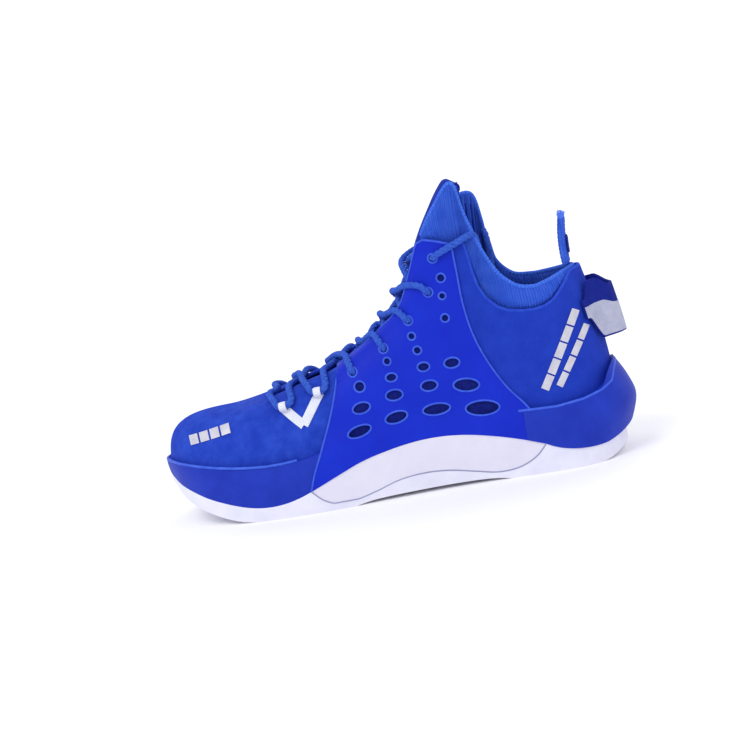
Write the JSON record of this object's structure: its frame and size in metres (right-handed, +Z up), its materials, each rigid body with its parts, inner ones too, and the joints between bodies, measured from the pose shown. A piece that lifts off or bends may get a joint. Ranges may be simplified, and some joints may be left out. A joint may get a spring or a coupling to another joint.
{
  "type": "basketball high top",
  "caption": "Left basketball high top shoe with moulded side film, knit collar wings, round laces, heel cup and heel pull loop.",
  "frame": {"origin": "bottom centre of the bounding box, on the ground under the middle of the shoe", "axes": "+X towards the heel, -X towards the toe, -Y to the outer (lateral) side, +Y to the inner side, +Z up"},
  "size_m": [0.3002, 0.1083, 0.1852],
  "materials": {
    "outsole": "matt moulded rubber",
    "midsole": "moulded foam",
    "plate": "satin moulded plastic",
    "rim": "satin moulded rubber",
    "film": "satin moulded film",
    "textile": "fine woven textile",
    "knit": "ribbed knit",
    "lining": "soft knit lining",
    "tongue": "padded knit",
    "lace": "braided cord",
    "webbing": "flat woven tape",
    "reflective": "reflective transfer",
    "board": "stitched fibre board",
    "sockliner": "foam with a textile face",
    "stiffener": "thermoplastic sheet",
    "shank": "moulded plastic",
    "insert": "soft gel foam",
    "pull": "woven tape"
  },
  "bodies": {
    "shoe": {"outsole": "outsole", "midsole_core": "midsole", "shank_plate": "shank", "heel_insert": "insert", "forefoot_rim": "rim", "heel_cup": "rim", "arch_plate_lateral": "plate", "arch_plate_medial": "plate", "strobel_board": "board", "vamp": "textile", "toe_puff": "stiffener", "quarter_lateral": "textile", "quarter_medial": "textile", "overlay_lateral": "film", "overlay_medial": "film", "heel_counter": "stiffener", "bootie_lining": "lining", "collar_knit": "knit", "tongue": "tongue", "pull_anchor_lateral": "reflective", "pull_anchor_medial": "reflective", "heel_reflector_lateral": "reflective", "heel_reflector_medial": "reflective", "toe_reflector": "webbing", "lace": "lace", "lace_end_lateral": "lace", "lace_end_medial": "lace", "aglet_lateral": "webbing", "aglet_medial": "webbing", "lace_loops_lateral": "webbing", "lace_loops_medial": "webbing"},
    "insole": {"sockliner": "sockliner"},
    "tongue_top": {"tongue_flap": "tongue"},
    "heel_loop": {"pull_loop": "pull", "pull_loop_band": "reflective"},
    "heel_tab": {"achilles_flap": "knit", "achilles_label": "pull"}
  },
  "joints": [
    {"name": "sockliner_lift", "type": "hinge", "parent": "shoe", "child": "insole", "pos_m": [-0.143, 0, 0.0312], "axis": [0, -1, 0], "range_deg": [0, 1.5]},
    {"name": "tongue_fold", "type": "hinge", "parent": "shoe", "child": "tongue_top", "pos_m": [0.0286, 0, 0.1476], "axis": [0, -1, 0], "range_deg": [-5, 35], "stiffness_Nm_per_rad": 0.06},
    {"name": "loop_swing", "type": "hinge", "parent": "shoe", "child": "heel_loop", "pos_m": [0.128, 0, 0.09], "axis": [0, -1, 0], "range_deg": [-5, 8], "stiffness_Nm_per_rad": 0.05},
    {"name": "achilles_fold", "type": "hinge", "parent": "shoe", "child": "heel_tab", "pos_m": [0.1206, 0, 0.1198], "axis": [0, 1, 0], "range_deg": [-12, 30], "stiffness_Nm_per_rad": 0.04}
  ]
}
